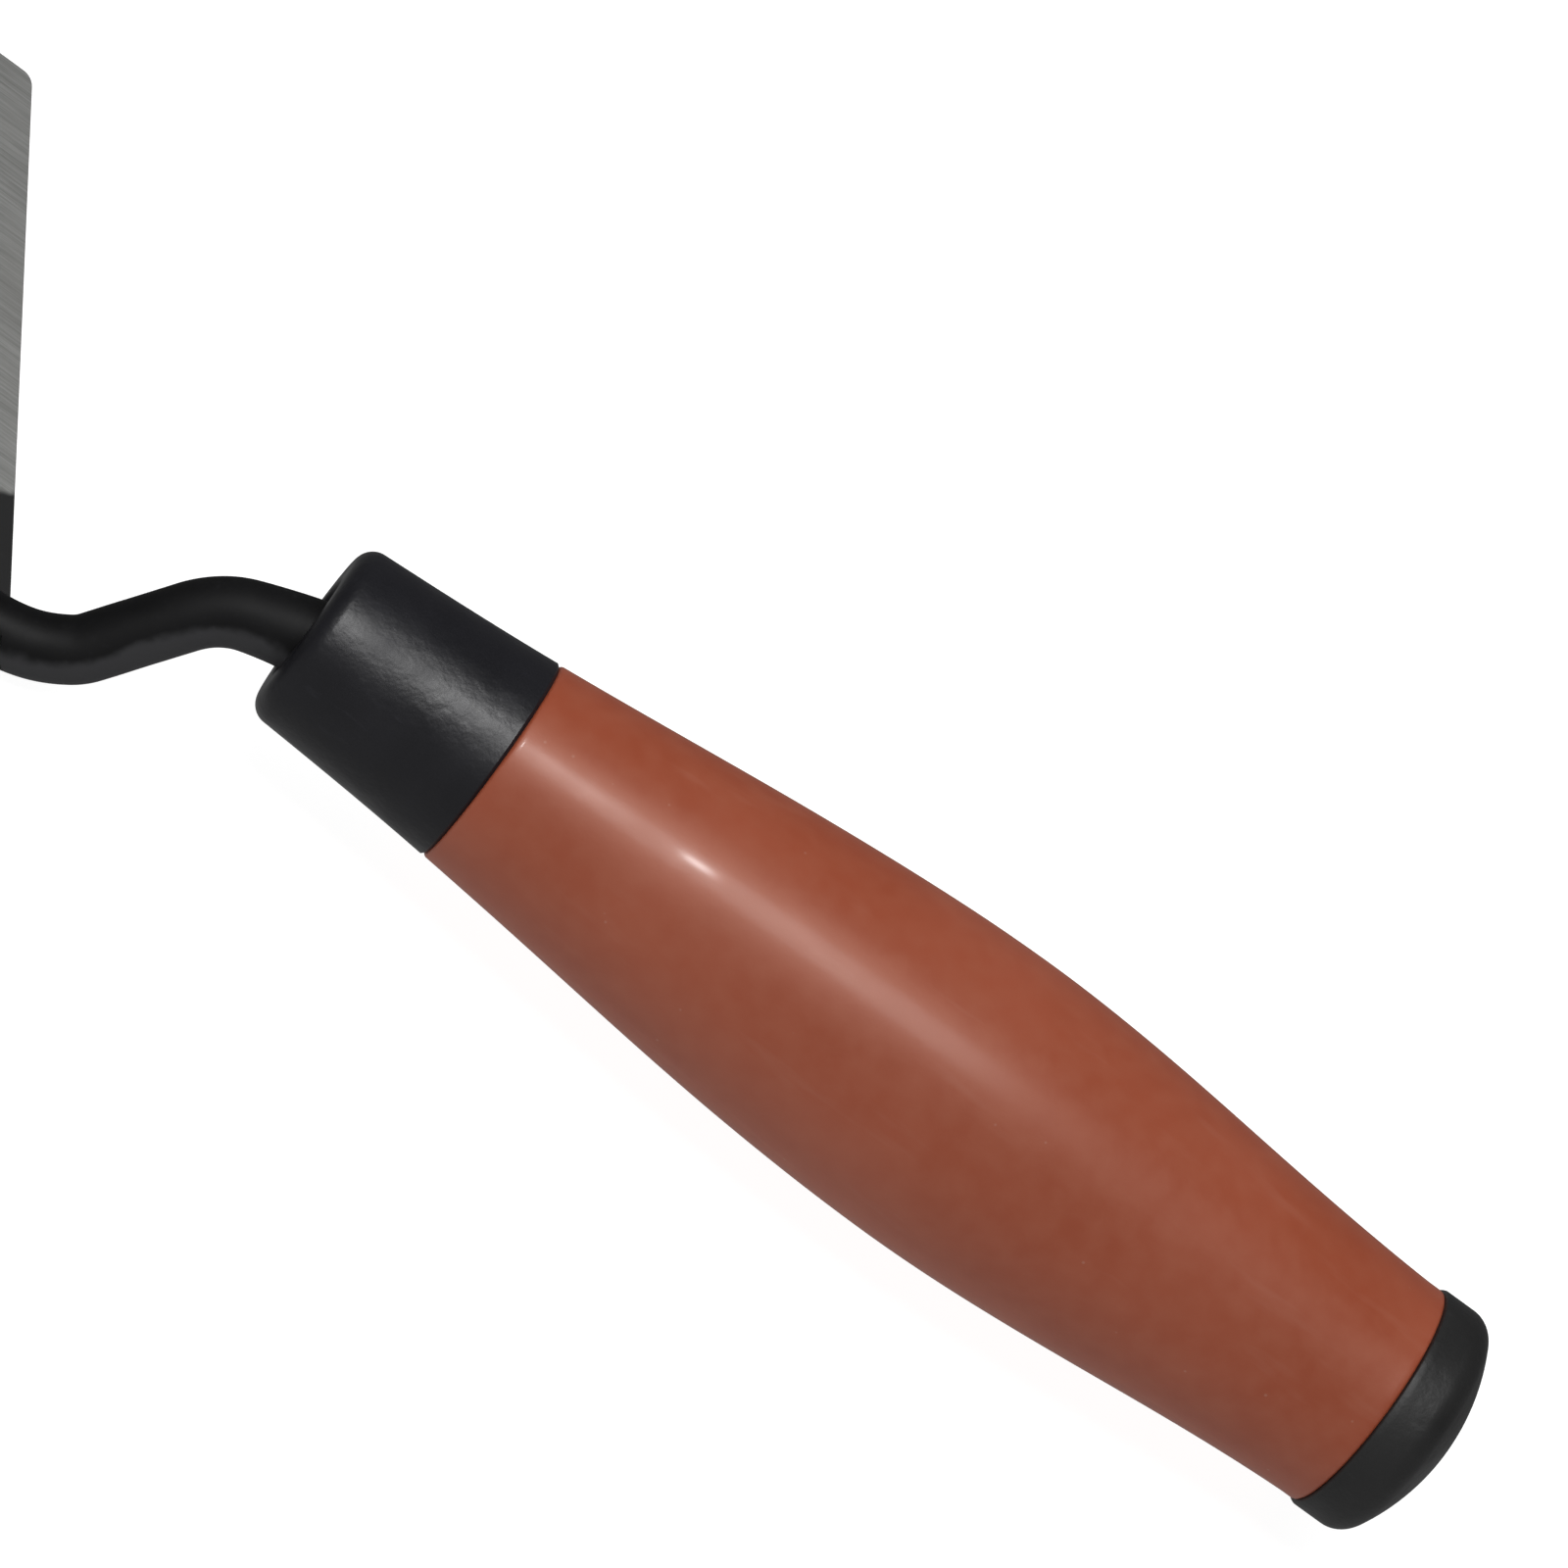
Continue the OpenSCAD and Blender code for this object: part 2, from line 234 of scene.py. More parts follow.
def lathe(outline, sides=192, wobble=None):
    """Vertices and faces of an outline of (x, radius) points turned about the handle's axis.

    An outline that starts and ends on the axis closes in a fan; any other closes on itself."""
    poles = outline[0][1] == 0 and outline[-1][1] == 0
    rows = outline[1:-1] if poles else outline
    verts = []
    for x, r in rows:
        for k in range(sides):
            t = 2 * math.pi * k / sides
            grow = wobble(x, t, r) if wobble else 0
            verts.append((x, (r + grow) * math.cos(t), AXIS_Z + (r + grow) * math.sin(t)))
    faces = ring_faces(len(rows), sides, closed=not poles)
    if poles:
        last = (len(rows) - 1) * sides
        start = len(verts)
        verts += [(outline[0][0], 0, AXIS_Z), (outline[-1][0], 0, AXIS_Z)]
        for k in range(sides):
            k2 = (k + 1) % sides
            faces.append((start, k2, k))
            faces.append((start + 1, last + k, last + k2))
    return verts, [tuple(reversed(f)) for f in faces]


def arc(cx, cr, radius, start, stop, steps):
    """Outline points on an arc; the angle is measured from +X towards a larger radius."""
    points = []
    for i in range(steps + 1):
        a = math.radians(start + (stop - start) * i / steps)
        points.append((cx + radius * math.cos(a), cr + radius * math.sin(a)))
    return points


# ---- Handle outline ----

def cubic(x, x0, r0, m0, x1, r1, m1):
    """A cubic from radius r0 and slope m0 at x0 to radius r1 and slope m1 at x1."""
    w = x1 - x0
    u = (x - x0) / w
    return (r0 * (1 + 2 * u) * (1 - u) ** 2 + m0 * w * u * (1 - u) ** 2
            + r1 * u * u * (3 - 2 * u) + m1 * w * u * u * (u - 1))


def handle_r(x):
    """Outer radius of the collar and the grip at a place along X."""
    grip_len = CAP_X - SEAM_X
    belly_x = SEAM_X + grip_len * BELLY_AT
    waist_x = SEAM_X + grip_len * WAIST_AT
    if x < SEAM_X:
        return cubic(x, COLLAR_X, FRONT_R, FRONT_SLOPE, SEAM_X, SEAM_R, SEAM_SLOPE)
    if x < belly_x:
        return cubic(x, SEAM_X, SEAM_R, SEAM_SLOPE, belly_x, BELLY_R, 0)
    if x < waist_x:
        return cubic(x, belly_x, BELLY_R, 0, waist_x, WAIST_R, WAIST_SLOPE)
    return WAIST_R


SWELL_X = COLLAR_X + 43.6 * MM
SWELL_REACH = 4.5 * MM
SWELL_TILT = 0.06
SWELL_SIDE = math.radians(152)
SWELL_SPREAD = 0.6


def thumb_swell(x, t):
    """Height of the shallow swell on the grip's front, on the side where the thumb rests."""
    along = (x - SWELL_X) / SWELL_REACH
    around = (t - SWELL_SIDE) / SWELL_SPREAD
    return SWELL_TILT * SWELL_REACH * along * math.exp(-along ** 2 - around ** 2)


def outer_line(x0, x1, steps, inset=0.0):
    """Outline points of the collar or the grip from x0 to x1, moved in by inset."""
    stations = [x0 + (x1 - x0) * i / steps for i in range(steps + 1)]
    return [(x, handle_r(x) - inset) for x in stations]


# ---- Materials ----

class Surface:
    """A material with a Principled shader and short calls for the nodes that feed it."""

    def __init__(self, name, specular):
        self.material = bpy.data.materials.new(name)
        self.material.use_nodes = True
        self.nodes = self.material.node_tree.nodes
        self.links = self.material.node_tree.links
        self.shader = self.nodes["Principled BSDF"]
        self.shader.inputs["Specular IOR Level"].default_value = specular
        self.place = self.upright()

    def upright(self):
        """Object coordinates turned back from LYING, so that the fold is lowest again."""
        node = self.nodes.new("ShaderNodeMapping")
        node.inputs["Location"].default_value = LYING.inverted().translation
        node.inputs["Rotation"].default_value = LYING.inverted().to_euler()
        self.links.new(self.nodes.new("ShaderNodeTexCoord").outputs["Object"], node.inputs["Vector"])
        return node.outputs["Vector"]

    def feed(self, socket, value):
        """Links a node's output to a socket, or sets the socket to a plain value."""
        if hasattr(value, "is_linked"):
            self.links.new(value, socket)
        else:
            socket.default_value = value

    def stretched(self, scale, turn=(0, 0, 0)):
        """Coordinates scaled unevenly, for grain that runs one way."""
        node = self.nodes.new("ShaderNodeMapping")
        node.inputs["Scale"].default_value = scale
        node.inputs["Rotation"].default_value = turn
        self.links.new(self.place, node.inputs["Vector"])
        return node.outputs["Vector"]

    def noise(self, scale, detail=3.0, rough=0.5, place=None, distortion=0.0):
        node = self.nodes.new("ShaderNodeTexNoise")
        node.inputs["Scale"].default_value = scale
        node.inputs["Detail"].default_value = detail
        node.inputs["Roughness"].default_value = rough
        node.inputs["Distortion"].default_value = distortion
        self.links.new(place or self.place, node.inputs["Vector"])
        return node.outputs["Fac"]

    def cells(self, scale):
        """Distance to the nearest point of a random scatter."""
        node = self.nodes.new("ShaderNodeTexVoronoi")
        node.inputs["Scale"].default_value = scale
        self.links.new(self.place, node.inputs["Vector"])
        return node.outputs["Distance"]

    def remap(self, value, lo, hi, to_lo, to_hi, smooth=False):
        node = self.nodes.new("ShaderNodeMapRange")
        node.interpolation_type = "SMOOTHSTEP" if smooth else "LINEAR"
        node.clamp = True
        limits = {"From Min": lo, "From Max": hi, "To Min": to_lo, "To Max": to_hi}
        for key, number in limits.items():
            node.inputs[key].default_value = number
        self.links.new(value, node.inputs["Value"])
        return node.outputs["Result"]

    def math(self, kind, a, b=0.0):
        node = self.nodes.new("ShaderNodeMath")
        node.operation = kind
        self.feed(node.inputs[0], a)
        self.feed(node.inputs[1], b)
        return node.outputs[0]

    def split(self):
        node = self.nodes.new("ShaderNodeSeparateXYZ")
        self.links.new(self.place, node.inputs[0])
        return node.outputs

    def mix(self, factor, a, b):
        node = self.nodes.new("ShaderNodeMix")
        node.data_type = "RGBA"
        self.feed(node.inputs["Factor"], factor)
        self.feed(node.inputs["A"], a)
        self.feed(node.inputs["B"], b)
        return node.outputs["Result"]

    def color(self, value):
        self.feed(self.shader.inputs["Base Color"], value)

    def roughness(self, value):
        self.feed(self.shader.inputs["Roughness"], value)

    def bump(self, heights):
        """heights: (height field, strength, distance) in order from the coarsest to the finest."""
        last = None
        for field, strength, distance in heights:
            node = self.nodes.new("ShaderNodeBump")
            node.inputs["Strength"].default_value = strength
            node.inputs["Distance"].default_value = distance
            self.links.new(field, node.inputs["Height"])
            if last:
                self.links.new(last, node.inputs["Normal"])
            last = node.outputs["Normal"]
        self.links.new(last, self.shader.inputs["Normal"])


def rgb(r, g, b):
    return (r, g, b, 1.0)


def grey(level, cool=1.0):
    """A neutral grey, or a bluish one where cool is above 1."""
    return rgb(level, level, level * cool)


def rubber_material():
    """Terracotta soft-touch rubber: satin, with a fine moulded tooth, faint handling marks and dust."""
    deep = rgb(0.236, 0.044, 0.016)
    pale = rgb(0.262, 0.056, 0.025)
    chalky = rgb(0.285, 0.080, 0.042)
    rubbed = rgb(0.30, 0.10, 0.062)
    dust = rgb(0.36, 0.20, 0.15)
    s = Surface("soft_grip_rubber", specular=0.75)
    s.shader.inputs["Specular Tint"].default_value = rgb(1.0, 0.72, 0.62)
    s.shader.inputs["Coat Weight"].default_value = 0.15
    s.shader.inputs["Coat Roughness"].default_value = 0.18

    patches = s.remap(s.noise(45, 3), 0.3, 0.7, 0, 1, smooth=True)
    mottle = s.noise(420, 4)
    tone = s.mix(patches, deep, pale)
    tone = s.mix(s.remap(mottle, 0.35, 0.75, 0, 0.35), tone, chalky)
    rub = s.noise(1.0, 3, place=s.stretched((60, 420, 420)))
    tone = s.mix(s.remap(rub, 0.6, 0.75, 0, 0.22, smooth=True), tone, rubbed)
    specks = s.remap(s.cells(260), 0.03, 0.05, 0.3, 0)
    s.color(s.mix(specks, tone, dust))

    satin = s.remap(patches, 0, 1, 0.48, 0.52)
    s.roughness(s.math("ADD", satin, s.remap(mottle, 0.3, 0.7, -0.02, 0.04)))
    s.bump([(s.noise(160, 2), 0.25, 0.12 * MM), (s.noise(2600, 2), 0.30, 0.03 * MM)])
    return s.material


def black_plastic(name, shade, rough, tooth, gloss=0.4, cool=1.0):
    """Moulded black plastic: shallow dimples, a fine tooth, and scuffs that grey it."""
    s = Surface(name, specular=gloss)
    cloud = s.noise(120, 4)
    scuff = s.noise(1.0, 5, 0.65, place=s.stretched((180, 900, 900), (0.3, 0.2, 0.1)))
    worn = s.remap(scuff, 0.58, 0.78, 0, 0.5, smooth=True)
    base = s.mix(s.remap(cloud, 0.3, 0.7, 0, 1), grey(shade * 0.85, cool), grey(shade * 1.25, cool))
    s.color(s.mix(worn, base, grey(shade * 3.0, cool)))
    s.roughness(s.math("ADD", s.remap(cloud, 0.3, 0.7, rough - 0.08, rough + 0.08),
                       s.math("MULTIPLY", worn, 0.12)))
    s.bump([(s.noise(420, 3, 0.6), 0.7, 0.16 * MM), (s.noise(3400, 3, 0.6), tooth, 0.04 * MM)])
    return s.material


def lacquer_nodes(s):
    """Colour, roughness and height of brushed black lacquer, shared by the tang and the blade's heel."""
    jet = rgb(0.0022, 0.0022, 0.0024)
    black = rgb(0.0045, 0.0045, 0.005)
    dusty = rgb(0.020, 0.020, 0.022)
    drift = s.noise(140, 4)
    dust = s.remap(s.noise(900, 5, 0.7), 0.56, 0.78, 0, 0.35, smooth=True)
    tone = s.mix(s.remap(drift, 0.3, 0.7, 0, 1), jet, black)
    tone = s.mix(dust, tone, dusty)
    gloss = s.math("ADD", s.remap(drift, 0.3, 0.7, 0.54, 0.62), s.math("MULTIPLY", dust, 0.3))
    peel = s.noise(650, 3, 0.6)
    return tone, gloss, peel


def lacquer_material(name, lumps=0.0):
    """Black lacquer over bare steel, greyer on the side that faces down and back: a painted reflection
    of the pale floor below.
    """
    # Grey of the painted reflection that the pale floor would give the side facing down and back
    painted_sheen = rgb(0.030, 0.030, 0.032)
    down_and_back = Vector((0.814, 0, -0.581))
    s = Surface(name, specular=0.2)
    tone, gloss, peel = lacquer_nodes(s)
    facing = s.nodes.new("ShaderNodeVectorMath")
    facing.operation = "DOT_PRODUCT"
    facing.inputs[1].default_value = LYING.to_3x3() @ down_and_back
    s.links.new(s.nodes.new("ShaderNodeTexCoord").outputs["Normal"], facing.inputs[0])
    wander = s.remap(s.noise(300, 4), 0.3, 0.7, -0.12, 0.12)
    under = s.math("ADD", facing.outputs["Value"], wander)
    # Painted reflection: the side facing down and back is mixed towards the lighter grey, as if lit by
    # the floor below
    s.color(s.mix(s.remap(under, 0.05, 0.4, 0, 1, smooth=True), tone, painted_sheen))
    s.roughness(gloss)
    s.bump([(s.noise(260, 3), 0.3 + lumps, 0.15 * MM), (peel, 0.25, 0.04 * MM)])
    return s.material


def steel_nodes(s):
    """Colour, roughness and height of ground steel: grain along the blade, stains and scratches."""
    dark = rgb(0.205, 0.207, 0.199)
    light = rgb(0.305, 0.307, 0.298)
    stained = rgb(0.175, 0.173, 0.162)
    bright = rgb(0.40, 0.40, 0.39)
    grain = s.noise(1.0, 6, 0.7, place=s.stretched((90, 5200, 5200)))
    scratch = s.noise(1.0, 4, 0.8, place=s.stretched((40, 1500, 1500), (0, 0.04, 0.03)))
    stain = s.noise(38, 4, 0.6, distortion=0.6)
    steel = s.mix(s.remap(grain, 0.35, 0.65, 0, 1), dark, light)
    steel = s.mix(s.remap(stain, 0.45, 0.75, 0, 0.45, smooth=True), steel, stained)
    steel = s.mix(s.remap(scratch, 0.62, 0.72, 0, 0.4), steel, bright)
    rough = s.math("ADD", s.remap(grain, 0.3, 0.7, 0.34, 0.46), s.remap(stain, 0.4, 0.8, 0, 0.1))
    return steel, rough, grain


def lacquer_mask(s):
    """1 where lacquer covers the blade; its line climbs the wings towards the rear, and wanders."""
    x, y, z = s.split()
    up_wing = s.math("MULTIPLY", s.math("ADD", s.math("ABSOLUTE", y), z), 1 / math.sqrt(2))
    behind = s.math("SUBTRACT", x, HEEL_X - LACQUER_REACH)
    line = s.math("MULTIPLY", behind, LACQUER_CLIMB)
    wander = s.math("MULTIPLY", s.math("SUBTRACT", s.noise(230, 3), 0.5), 3.2 * MM)
    inside = s.math("SUBTRACT", s.math("ADD", line, wander), up_wing)
    return s.remap(inside, -0.7 * MM, 0.5 * MM, 0, 1, smooth=True)


def blade_material():
    """Ground steel with black lacquer brushed over the heel."""
    s = Surface("ground_steel", specular=0.35)
    steel, steel_rough, grain = steel_nodes(s)
    tone, gloss, peel = lacquer_nodes(s)
    mask = lacquer_mask(s)
    bare = s.math("SUBTRACT", 1.0, mask)
    s.color(s.mix(mask, steel, tone))
    s.roughness(s.math("ADD", s.math("MULTIPLY", steel_rough, bare), s.math("MULTIPLY", gloss, mask)))
    s.feed(s.shader.inputs["Metallic"], s.remap(mask, 0, 1, 0.6, 0))
    s.bump([(s.noise(30, 2), 0.3, 0.3 * MM), (mask, 0.4, 0.06 * MM), (grain, 0.12, 0.02 * MM),
            (peel, 0.1, 0.03 * MM)])
    return s.material


def floor_material():
    """A white table that glows a little, so that it comes out as pale as a cut-out background."""
    s = Surface("pale_floor", specular=0.1)
    s.color(s.mix(s.remap(s.noise(3, 3), 0.3, 0.7, 0, 1), grey(0.25), grey(0.28)))
    s.roughness(s.remap(s.noise(25, 2), 0.3, 0.7, 0.75, 0.85))
    s.shader.inputs["Emission Color"].default_value = grey(1)
    s.shader.inputs["Emission Strength"].default_value = 0.93
    return s.material


# ---- Blade ----

def nose_edge(s):
    """X of the nose edge at a distance s up a wing, with the outer corner rounded."""
    rise = s - (WING_S - NOSE_CORNER_R)
    if rise <= 0:
        return NOSE_X
    return NOSE_X + NOSE_CORNER_R - math.sqrt(max(0, NOSE_CORNER_R ** 2 - rise ** 2))


def rear_edge(s):
    """X of the swept rear edge at a distance s up a wing, with the outer corner rounded."""
    angle = math.atan(SWEEP)
    centre_s = WING_S - REAR_CORNER_R
    if s <= centre_s + REAR_CORNER_R * math.sin(angle):
        return HEEL_X - SWEEP * s
    centre_x = HEEL_X - SWEEP * centre_s - REAR_CORNER_R / math.cos(angle)
    return centre_x + math.sqrt(max(0, REAR_CORNER_R ** 2 - (s - centre_s) ** 2))


def blade_rows():
    """Stations across the blade: (kind, side, distance up the wing or the bend's angle)."""
    flat = WING_S - NOSE_CORNER_R
    ups = [flat * i / 20 for i in range(21)]
    ups += [flat + NOSE_CORNER_R * math.sin(math.radians(a)) for a in range(7, 91, 7)]
    ups[-1] = WING_S
    right = [("wing", 1, s) for s in ups]
    left = [("wing", -1, s) for s in reversed(ups)]
    # The first station of each wing closes the bend, at 45 degrees
    bend = [("bend", 0, math.radians(a)) for a in range(-36, 37, 9)]
    return left + bend + right


def blade_point(row, along, radius):
    """A point on the blade's face at a radius from the bend's centre line."""
    kind, side, value = row
    s = value if kind == "wing" else 0
    x = nose_edge(s) + (rear_edge(s) - nose_edge(s)) * along
    if kind == "bend":
        return (x, radius * math.sin(value), FOLD_R - radius * math.cos(value))
    return (x, side * (s + radius) / math.sqrt(2), FOLD_R + (s - radius) / math.sqrt(2))


def make_blade():
    """The folded sheet: an outer and an inner skin, joined round their four edges."""
    rows = blade_rows()
    cols = 60
    n = cols + 1
    verts = []
    for radius in (FOLD_R, INNER_R):
        for row in rows:
            verts += [blade_point(row, i / cols, radius) for i in range(n)]
    skin = len(rows) * n
    last_row = len(rows) - 1
    faces = []
    for j in range(last_row):
        for i in range(cols):
            a = j * n + i
            faces.append((a, a + n, a + n + 1, a + 1))
            faces.append((skin + a, skin + a + 1, skin + a + n + 1, skin + a + n))

    def close(a, b, flip):
        quad = (a, skin + a, skin + b, b)
        faces.append(tuple(reversed(quad)) if flip else quad)

    for j in range(last_row):
        close(j * n, (j + 1) * n, False)
        close(j * n + cols, (j + 1) * n + cols, True)
    for j, flip in ((0, True), (last_row, False)):
        for i in range(cols):
            close(j * n + i, j * n + i + 1, flip)
    piece = add_piece("blade_sheet", verts, faces, blade_material(), "blade")
    apply_bevel(piece, BLADE_BEVEL)


# ---- Tang ----

def ease(u):
    """Rises smoothly from 0 to 1 as u does."""
    v = max(0.0, min(1.0, u))
    return v * v * (3 - 2 * v)


def spread(start, stop, steps, first=1):
    """Evenly spaced values from start to stop; first=1 leaves the start out."""
    return [start + (stop - start) * i / steps for i in range(first, steps + 1)]


def neck_r(x):
    """The bar's radius where it thickens towards the handle."""
    return BAR_R + (NECK_R - BAR_R) * ease((x - UPPER_START_X) / (LEVEL_X - UPPER_START_X))


def tang_stations():
    """(x from the heel, height, slope, radius) along the bar, from its foot to the tail's end."""
    foot_start = -FOOT_LEN + TIP_R
    stations = [(foot_start - TIP_R * math.cos(a), FOOT_Z, 0.0, TIP_R * math.sin(a))
                for a in spread(0, math.radians(84), 12)]
    for x in spread(foot_start, -RISE_START, 90, first=0):
        grow = ease((x + FOOT_LEN) / FOOT_TAPER)
        stations.append((x, FOOT_Z, 0.0, TIP_R + (BAR_R - TIP_R) * grow))
    for a in spread(0, LOWER_SPLIT, 90):
        stations.append((LOWER_SLOW_R * math.sin(a) - RISE_START,
                         FOOT_Z + LOWER_SLOW_R * (1 - math.cos(a)), a, BAR_R))
    for a in spread(LOWER_SPLIT, CRANK, 12):
        stations.append((LOWER_END_X - LOWER_TIGHT_R * (math.sin(CRANK) - math.sin(a)),
                         LOWER_END_Z - LOWER_TIGHT_R * (math.cos(a) - math.cos(CRANK)), a, BAR_R))
    for u in spread(0, 1, 16):
        stations.append((LOWER_END_X + (UPPER_START_X - LOWER_END_X) * u,
                         LOWER_END_Z + (UPPER_START_Z - LOWER_END_Z) * u, CRANK, BAR_R))
    for a in spread(CRANK, UPPER_SPLIT, 20):
        x = UPPER_START_X + UPPER_TIGHT_R * (math.sin(CRANK) - math.sin(a))
        z = UPPER_START_Z + UPPER_TIGHT_R * (math.cos(a) - math.cos(CRANK))
        stations.append((x, z, a, neck_r(x)))
    for a in spread(UPPER_SPLIT, 0, 30):
        x = LEVEL_X - UPPER_SLOW_R * math.sin(a)
        stations.append((x, AXIS_Z - UPPER_SLOW_R * (1 - math.cos(a)), a, neck_r(x)))
    shoulder = LEVEL_X + SHOULDER_LEN
    tail_start = shoulder + SHOULDER_STEP
    tail_end = TANG_HI.x - HEEL_X
    stations.append((shoulder, AXIS_Z, 0.0, NECK_R))
    for x in spread(tail_start, tail_end - TAIL_CHAMFER, 20, first=0):
        stations.append((x, AXIS_Z, 0.0, TAIL_R))
    stations.append((tail_end, AXIS_Z, 0.0, TAIL_R - TAIL_CHAMFER))
    return stations


INNER_CORNER_Z = FOLD_R - INNER_R * math.sqrt(2)
INNER_FLAT_Z = FOLD_R - INNER_R / math.sqrt(2)
HEEL_MARGIN = 0.05 * MM


def bed_reach(x, height, slope, t, radius):
    """How far the bar reaches in direction t: less than its radius where it beds into the fold."""
    px = x - radius * math.sin(t) * math.sin(slope)
    py = radius * math.cos(t)
    pz = height + radius * math.sin(t) * math.cos(slope)
    up_wing = (abs(py) + pz - FOLD_R) / math.sqrt(2)
    if px > HEEL_MARGIN - SWEEP * max(up_wing, 0):
        return radius
    down = -math.sin(t) * math.cos(slope)
    side = abs(math.cos(t)) + down
    reach = radius
    if side > 0.01:
        reach = min(reach, (height - INNER_CORNER_Z) / side)
    if down > 0.01:
        reach = min(reach, (height - INNER_FLAT_Z) / down)
    return reach


def make_tang(material):
    """The bar swept along its stations, faintly uneven wherever it shows."""
    sides = 96
    dent_len = 5 * MM
    dent_depth = 0.06 * MM
    verts = []
    stations = tang_stations()
    for x, height, slope, radius in stations:
        for k in range(sides):
            t = 2 * math.pi * (k + 0.5) / sides
            r = bed_reach(x, height, slope, t, radius)
            if r == radius and x < COLLAR_X - HEEL_X:
                spot = Vector((x, r * math.cos(t), height + r * math.sin(t)))
                r += (noise.noise(spot / dent_len) - 0.5) * dent_depth
            lift = r * math.sin(t)
            verts.append((HEEL_X + x - lift * math.sin(slope), r * math.cos(t),
                          height + lift * math.cos(slope)))
    faces = ring_faces(len(stations), sides)
    last = (len(stations) - 1) * sides
    faces.append(tuple(reversed(range(sides))))
    faces.append(tuple(last + k for k in range(sides)))
    faces = [tuple(reversed(f)) for f in faces]
    add_piece("tang_bar", verts, faces, material, "tang")


# ---- Weld ----

def weld_line():
    """Distance from the middle at which the bar's side meets a wing's inner face."""
    drop = FOOT_Z - INNER_CORNER_Z
    near = drop / math.sqrt(2)
    return (drop + math.sqrt(2 * (BAR_R ** 2 - near ** 2))) / 2


RIPPLE_DEPTH = 0.10
DRIFT_DEPTH = 0.08
DRIFT_LEN = 4 * MM
THINNEST = 0.08


def bead_r(x, u, side, offset):
    """Radius of a bead at u along it: ripples and a slow drift, thinning out at both ends."""
    ripple = 1 - RIPPLE_DEPTH * ((x / WELD_PITCH + offset) % 1.0)
    drift = 1 + DRIFT_DEPTH * noise.noise(Vector((x / DRIFT_LEN, side * 3.0, offset)))
    ends = math.sqrt(max(0.0, 1 - (2 * u - 1) ** 10))
    return WELD_SLIM * WELD_R * ripple * drift * max(THINNEST, ends)


def make_welds(material):
    """Two beads of overlapping ripples, each flattened where it would sink into its wing."""
    random.seed(11)
    y0 = weld_line()
    z0 = INNER_CORNER_Z + y0
    sides = 28
    steps = 200
    start = HEEL_X - RISE_START - WELD_LEN
    verts, faces = [], []
    for side in (1, -1):
        base = len(verts)
        offset = random.uniform(0, 10)
        for i in range(steps + 1):
            u = i / steps
            x = start + WELD_LEN * u
            radius = bead_r(x, u, side, offset)
            for k in range(sides):
                t = 2 * math.pi * k / sides
                dy, dz = radius * math.cos(t), radius * math.sin(t)
                excess = max(0.0, (dy - dz) / math.sqrt(2) - WELD_SINK) / math.sqrt(2)
                verts.append((x, side * (y0 + dy - excess), z0 + dz + excess))
        strip = [tuple(base + v for v in f) for f in ring_faces(steps + 1, sides)]
        strip.append(tuple(base + k for k in reversed(range(sides))))
        strip.append(tuple(base + steps * sides + k for k in range(sides)))
        faces += strip if side < 0 else [tuple(reversed(f)) for f in strip]
    add_piece("weld_ripples", verts, faces, material, "weld_beads")


# ---- Handle ----

WEAR_LEN = 22 * MM
WEAR_ROUND = 14 * MM
WEAR_DEPTH = 0.05 * MM


def hand_wear(x, t, r):
    """The unevenness of a soft moulding, always inwards, and the thumb's swell on its outside."""
    spot = Vector((x / WEAR_LEN, r * math.cos(t) / WEAR_ROUND, r * math.sin(t) / WEAR_ROUND))
    outside = r > handle_r(x) - SLEEVE_T / 3
    swell = thumb_swell(x, t) if outside else 0
    return (noise.noise(spot) - 1) * WEAR_DEPTH + swell


def make_collar(material):
    """A shell over the core's spigot, with a hole in its front face for the neck."""
    front_rings = (6.5 * MM, 7.2 * MM)
    round_end = COLLAR_X + COLLAR_EDGE_R
    line_start = round_end + 0.4 * MM
    outline = [(COLLAR_X + COLLAR_LIP, NECK_HOLE_R)]
    outline += arc(COLLAR_X + COLLAR_LIP, NECK_HOLE_R + COLLAR_LIP, COLLAR_LIP, -90, -180, 5)[1:]
    outline += [(COLLAR_X, r) for r in front_rings]
    outline += arc(round_end, handle_r(round_end) - COLLAR_EDGE_R, COLLAR_EDGE_R, 180, 93, 14)
    outline += outer_line(line_start, SEAM_X - EDGE_BEVEL, 40)
    outline += [(SEAM_X, handle_r(SEAM_X) - EDGE_BEVEL), (SEAM_X, SPIGOT_R),
                (COLLAR_X + COLLAR_WALL, SPIGOT_R), (COLLAR_X + COLLAR_WALL, NECK_HOLE_R)]
    verts, faces = lathe(outline)
    add_piece("collar_shell", verts, faces, material, "collar")


def make_grip(material):
    """The rubber sleeve: its outer line with both rims rounded, and its bore."""
    front_r = handle_r(SEAM_X)
    rim = [(1 - math.cos(a), 1 - math.sin(a)) for a in (math.radians(30), math.radians(60))]
    outline = [(SEAM_X, front_r - EDGE_BEVEL)]
    outline += [(SEAM_X + EDGE_BEVEL * u, front_r - EDGE_BEVEL * v) for u, v in rim]
    outline += outer_line(SEAM_X + EDGE_BEVEL, CAP_X - EDGE_BEVEL, 220)
    outline += [(CAP_X - EDGE_BEVEL * u, WAIST_R - EDGE_BEVEL * v) for u, v in reversed(rim)]
    outline.append((CAP_X, WAIST_R - EDGE_BEVEL))
    outline += reversed(outer_line(SEAM_X, CAP_X, 60, SLEEVE_T - SLEEVE_GAP))
    verts, faces = lathe(outline, sides=256, wobble=hand_wear)
    add_piece("grip_skin", verts, faces, material, "grip_sleeve")


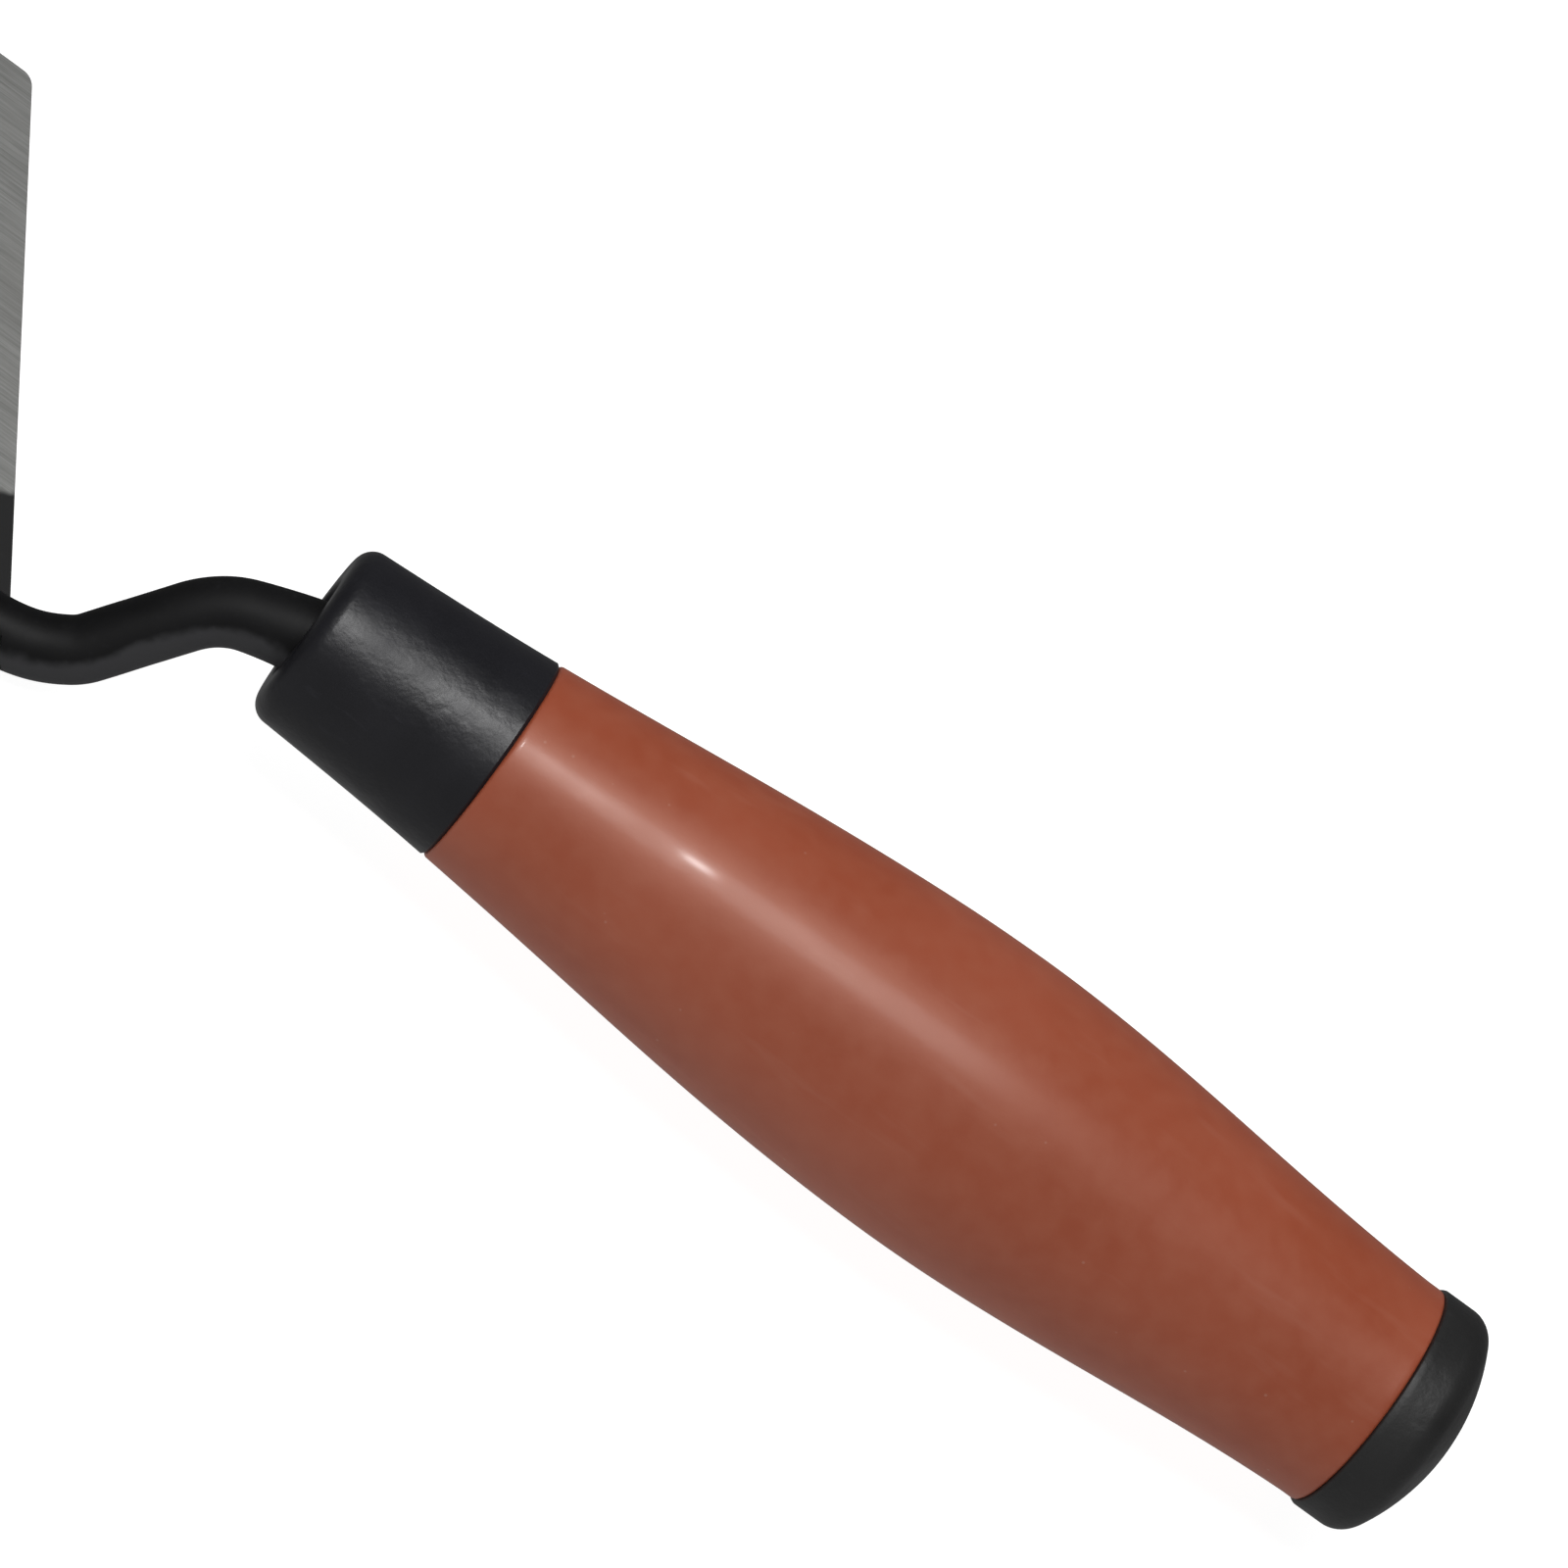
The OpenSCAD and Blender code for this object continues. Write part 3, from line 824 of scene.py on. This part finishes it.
def make_cap(material):
    """The domed cap and the plug that holds it in the core."""
    dome_angle = math.asin((CAP_R - CAP_EDGE_R) / (CAP_DOME_R - CAP_EDGE_R))
    dome_x = END_X - CAP_DOME_R
    rim_x = dome_x + (CAP_DOME_R - CAP_EDGE_R) * math.cos(dome_angle)
    plug_x = CAP_X - PLUG_LEN
    outline = [(plug_x, 0), (plug_x, PLUG_R - PLUG_CHAMFER), (plug_x + PLUG_CHAMFER, PLUG_R),
               (CAP_X, PLUG_R)]
    outline += [(CAP_X, CAP_R - EDGE_BEVEL), (CAP_X + EDGE_BEVEL * 0.3, CAP_R - EDGE_BEVEL * 0.3),
                (CAP_X + EDGE_BEVEL, CAP_R)]
    outline += [(x, CAP_R) for x in spread(CAP_X + EDGE_BEVEL, rim_x, 6)[:-1]]
    outline += arc(rim_x, CAP_R - CAP_EDGE_R, CAP_EDGE_R, 90, math.degrees(dome_angle), 18)
    outline += [(dome_x + CAP_DOME_R * math.cos(a), CAP_DOME_R * math.sin(a))
                for a in spread(dome_angle, 0, 20)[:-1]]
    outline.append((END_X, 0))
    verts, faces = lathe(outline)
    add_piece("cap_shell", verts, faces, material, "end_cap")


# ---- Stage ----

FLOOR_SIZE = 12.0
FLOOR_TOP = -0.02 * MM


def make_floor():
    """A wide flat sheet just under the tool."""
    cells = 24
    ticks = [FLOOR_SIZE * (i / cells - 0.5) for i in range(cells + 1)]
    verts = [(x, y, FLOOR_TOP) for y in ticks for x in ticks]
    row = cells + 1
    faces = [(j * row + i, j * row + i + 1, (j + 1) * row + i + 1, (j + 1) * row + i)
             for j in range(cells) for i in range(cells)]
    mesh = bpy.data.meshes.new("floor")
    mesh.from_pydata(verts, [], faces)
    mesh.materials.append(floor_material())
    floor = bpy.data.objects.new("floor", mesh)
    bpy.context.scene.collection.objects.link(floor)
    floor.visible_glossy = False


def area_light(name, direction, distance, width, power, height=None):
    """An area lamp, in metres and watts, aimed at the grip's front; directions have the fold lowest."""
    data = bpy.data.lights.new(name, "AREA")
    data.energy = power
    data.size = width
    if height:
        data.shape = "RECTANGLE"
        data.size_y = height
    light = bpy.data.objects.new(name, data)
    target = Vector((SEAM_X + 20 * MM, 0, AXIS_Z))
    place = Matrix.Translation(target + direction.normalized() * distance)
    light.matrix_world = LYING @ place @ direction.to_track_quat("Z", "Y").to_matrix().to_4x4()
    bpy.context.scene.collection.objects.link(light)
    return light


def make_lights():
    """A softbox and a small glint lamp beside the camera, and two washes that never show in a gloss."""
    near = 0.9
    far = 1.2
    area_light("key", Vector((-0.08, -0.706, 0.60)), near, width=0.45, power=3.5, height=0.30)
    area_light("glint", Vector((-0.22, -0.706, 0.66)), near, width=0.04, power=3.0)
    top = area_light("top_wash", Vector((0.1, 0.2, 1.0)), far, width=0.8, power=6.3)
    front = area_light("front_wash", Vector((0.0, -1.0, 0.0)), far, width=0.8, power=1.7)
    for wash in (top, front):
        wash.visible_glossy = False


def make_world():
    """A dim studio all round, lighter towards the fold's side of the tool than over its wings."""
    world = bpy.data.worlds.new("studio")
    world.use_nodes = True
    nodes = world.node_tree.nodes
    links = world.node_tree.links
    place = nodes.new("ShaderNodeTexCoord")
    height = nodes.new("ShaderNodeVectorMath")
    height.operation = "DOT_PRODUCT"
    height.inputs[1].default_value = LYING.to_3x3() @ Vector((0, 0, 1))
    level = nodes.new("ShaderNodeMapRange")
    level.interpolation_type = "SMOOTHSTEP"
    limits = {"From Min": -0.35, "From Max": 0.35, "To Min": 0.30, "To Max": 0.10}
    for key, number in limits.items():
        level.inputs[key].default_value = number
    links.new(place.outputs["Generated"], height.inputs[0])
    links.new(height.outputs["Value"], level.inputs["Value"])
    links.new(level.outputs["Result"], nodes["Background"].inputs["Strength"])
    nodes["Background"].inputs["Color"].default_value = grey(1)
    bpy.context.scene.world = world
    bpy.context.scene.view_settings.view_transform = "Standard"


# ---- Scene ----

make_camera()
make_blade()
make_tang(lacquer_material("tang_lacquer"))
make_welds(lacquer_material("weld_lacquer", lumps=0.25))
make_collar(black_plastic("collar_plastic", shade=0.006, rough=0.42, tooth=0.30, gloss=0.42, cool=1.35))
make_grip(rubber_material())
make_cap(black_plastic("cap_plastic", shade=0.012, rough=0.50, tooth=0.35))
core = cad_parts["handle_core"]
core.data.materials.clear()
core.data.materials.append(black_plastic("core_plastic", shade=0.025, rough=0.5, tooth=0.25))
make_floor()
make_lights()
make_world()
